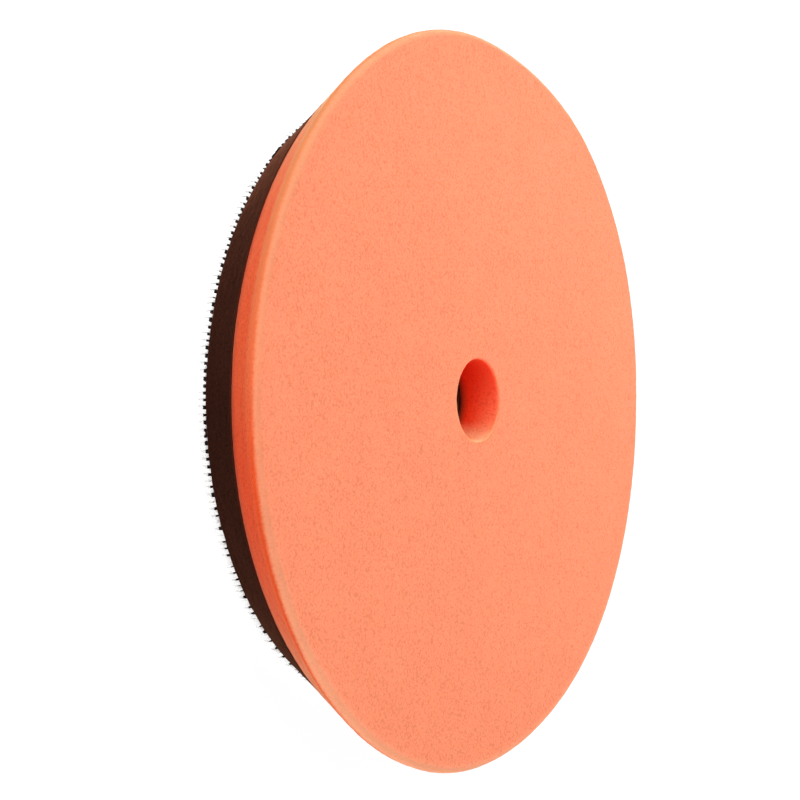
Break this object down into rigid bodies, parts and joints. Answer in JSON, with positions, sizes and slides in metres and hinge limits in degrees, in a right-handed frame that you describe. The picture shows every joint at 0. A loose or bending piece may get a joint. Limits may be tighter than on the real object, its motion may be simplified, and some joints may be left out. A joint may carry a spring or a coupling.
{
  "type": "polishing pad",
  "caption": "Round foam polishing pad for a machine polisher: tapered orange polishing foam on a dark foam interface, a loop-cloth back and a centre hole.",
  "frame": {"origin": "centre of the loop face that the pad lies on, on the axis of the centre hole", "axes": "+Z along the pad's axis, from the loop face to the working face; the pad is round, so +X and +Y are any two square directions in the loop face"},
  "size_m": [0.152, 0.152, 0.0235],
  "materials": {
    "face_foam": "matte",
    "face_bond_film": "satin",
    "interface_foam": "matte",
    "backing_bond_film": "satin",
    "loop_ground_cloth": "matte",
    "loop_pile": "matte"
  },
  "bodies": {
    "root": {"face_foam": "face_foam", "face_bond_film": "face_bond_film", "interface_foam": "interface_foam", "backing_bond_film": "backing_bond_film", "loop_ground_cloth": "loop_ground_cloth", "loop_pile": "loop_pile"}
  },
  "joints": []
}
